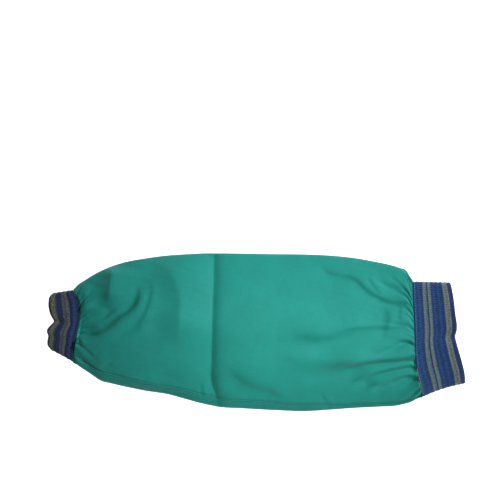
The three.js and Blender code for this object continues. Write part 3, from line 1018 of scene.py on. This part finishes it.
# Rings of a stitch: place as a share of its length, and the ring's radius and height above the
# line as shares of its radius
THREAD_RINGS = np.array([(-0.5, 0.35, -0.8), (-0.3, 1, 0.35), (0.3, 1, 0.35), (0.5, 0.35, -0.8)])
CUFF_POINTS = 600  # points along a line of stitches
SEAM_POINTS = 900
STITCH_LINE = 0.94  # place of the seam's stitches across the strip
STITCH_END = 4  # they stop this far from the seam of each cuff
ON_KNIT = 0.3  # height of the cuffs' stitches above the smooth knit


def make_stitches(name, line, normals, pitch, length, radius, material):
    """Short threads along a line of close points, each a capsule of a few rings that dips into the
    cloth at its ends."""
    steps = np.linalg.norm(np.diff(line, axis=0), axis=1)
    gone = np.concatenate([[0], np.cumsum(steps)])
    places = np.arange(pitch / 2, gone[-1] - length / 2, pitch)
    rings = places[:, None] + THREAD_RINGS[:, 0] * length
    centre, up = (
        np.stack([np.interp(rings, gone, values[:, i]) for i in range(3)], axis=-1)
        for values in (line, normals)
    )
    ahead = centre[:, -1:] - centre[:, :1]
    beside = np.cross(up, ahead)
    beside /= np.linalg.norm(beside, axis=-1, keepdims=True)
    turn = np.arange(THREAD_SIDES) / THREAD_SIDES * 2 * pi
    radii, dip = THREAD_RINGS[:, 1] * radius, THREAD_RINGS[:, 2] * radius
    loop = (
        beside[:, :, None] * np.cos(turn)[:, None] + up[:, :, None] * np.sin(turn)[:, None]
    ) * radii[:, None, None]
    points = (centre + up * dip[:, None])[:, :, None] + loop
    walls = grid_faces(len(THREAD_RINGS), THREAD_SIDES, True)[:, ::-1]
    each = len(THREAD_RINGS) * THREAD_SIDES
    first, last = np.arange(THREAD_SIDES), each - 1 - np.arange(THREAD_SIDES)
    faces = []
    for start in range(0, len(places) * each, each):
        faces += (walls + start).tolist() + [(first + start).tolist(), (last + start).tolist()]
    piece = add_mesh(name, points.reshape(-1, 3), faces)
    piece.data.materials.append(material)
    return piece


def cuff_line(surface, flip, share, start, end):
    """Points along a cuff at a share of its length between two angles, and their normals, which
    flip turns outwards."""
    angle = np.linspace(start, end, CUFF_POINTS)
    share = np.full_like(angle, share)
    normal = outward_normal(surface, share, angle) * flip
    return surface(share, angle) + ON_KNIT * normal, normal


def seam_line():
    """Points along the seam strip near its inner edge, and their normals."""
    share = np.linspace(STITCH_END / REACH, 1 - STITCH_END / REACH, SEAM_POINTS)
    angle = seam_line_angle(share, STITCH_LINE * through(SEAM_INSET, share))
    normal = outward_normal(body_surface, share, angle)
    height = seam_height(share, np.full_like(share, STITCH_LINE))
    return cloth_point(share, angle) + normal * height[:, None], normal


# Rows of stitches: name, line, pitch, length and radius of a stitch, thread, and slot
STITCH_ROWS = [
    # The seam's stitches are thick dark thread over the groove's lit flank, partly painted shade of
    # the groove
    ("seam_stitches", seam_line(), 3.0, 2.6, 0.36, green_thread_painted_shade, "cotton_seam"),
    (
        "arm_cuff_stitches",
        cuff_line(arm_face, 1, 0.05, 0.04 * pi, 0.66 * pi),
        3.4, 1.5, 0.28, grey_thread, "arm_knit",
    ),
    (
        "arm_cuff_overlock",
        cuff_line(arm_face, 1, 0.012, 0.67 * pi, 0.93 * pi),
        2.3, 2.5, 0.42, beige_thread, "arm_knit",
    ),
    (
        "wrist_cuff_stitches",
        cuff_line(wrist_face, -1, 0.05, 0.04 * pi, 0.96 * pi),
        3.2, 1.6, 0.25, green_thread_painted_shade, "wrist_knit",
    ),
]  # fmt: skip
for name, line, pitch, length, radius, thread, slot in STITCH_ROWS:
    stitches = make_stitches(name, *line, pitch, length, radius, thread)
    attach(stitches, "root")

# Table, light and camera

TABLE_HALF = 6.0  # half the table's width, in metres
TABLE_TOP = -0.0003  # a little below the sleeve


def make_floor():
    """A square white table top, bright enough to leave the picture's ground white."""
    square = [(-1, -1), (1, -1), (1, 1), (-1, 1)]
    mesh = bpy.data.meshes.new("table_top")
    mesh.from_pydata([(x * TABLE_HALF, y * TABLE_HALF, 0) for x, y in square], [], [(0, 1, 2, 3)])
    floor = bpy.data.objects.new("table_top", mesh)
    bpy.context.scene.collection.objects.link(floor)
    floor.location.z = TABLE_TOP
    mesh.materials.append(
        new_material(
            "white_table",
            {
                "Base Color": (0.5, 0.5, 0.5, 1),
                "Roughness": 0.9,
                "Specular IOR Level": 0.0,
                "Emission Color": (1, 1, 1, 1),
                "Emission Strength": 1.15,
            },
        )[0]
    )


def add_light(name, kind, place, at, settings):
    """A light at a place, turned towards a point, with its own settings."""
    data = bpy.data.lights.new(name, kind)
    for key, value in settings.items():
        setattr(data, key, value)
    light = bpy.data.objects.new(name, data)
    bpy.context.scene.collection.objects.link(light)
    light.location = place
    light.rotation_euler = (Vector(at) - light.location).to_track_quat("-Z", "Y").to_euler()


make_floor()
# The main light comes low from the right, a little from the far side, and is brightest right of
# the middle
add_light(
    "key_light",
    "SPOT",
    (2.65, 0.91, 1.75),
    (0.06, 0.0, 0.0),
    {
        "energy": 1985,
        "shadow_soft_size": 0.3,
        "spot_size": radians(6.3),
        "spot_blend": 1.0,
        "color": (0.96, 1.0, 1.1),
    },
)
# A soft pool of light from above lies on the middle
add_light(
    "pool_light",
    "SPOT",
    (0.35, 0.1, 1.4),
    (0.045, -0.005, 0.0),
    {"energy": 71, "shadow_soft_size": 0.15, "spot_size": radians(13.5), "spot_blend": 1.0},
)
# A weaker one lies on the near side towards the wrist
add_light(
    "near_light",
    "SPOT",
    (-0.4, -0.35, 1.2),
    (-0.16, -0.055, 0.0),
    {"energy": 15, "shadow_soft_size": 0.15, "spot_size": radians(11), "spot_blend": 1.0},
)

world = bpy.data.worlds.new("studio")
world.use_nodes = True
world.node_tree.nodes["Background"].inputs["Color"].default_value = (1, 1, 1, 1)
world.node_tree.nodes["Background"].inputs["Strength"].default_value = 0.115
bpy.context.scene.world = world
bpy.context.scene.view_settings.view_transform = "Standard"

# The photograph's frame is 634 mm wide at the table, seen from straight above
VIEW_WIDTH = 0.634
VIEW_CENTRE = (-0.0085, 0.104)
CAMERA_HEIGHT = 4.0
SENSOR = 36
camera_data = bpy.data.cameras.new("camera")
camera_data.sensor_width = SENSOR
camera_data.lens = SENSOR * CAMERA_HEIGHT / VIEW_WIDTH
camera = bpy.data.objects.new("camera", camera_data)
bpy.context.scene.collection.objects.link(camera)
camera.location = (*VIEW_CENTRE, CAMERA_HEIGHT)
camera.rotation_euler = (0, 0, 0)
bpy.context.scene.camera = camera
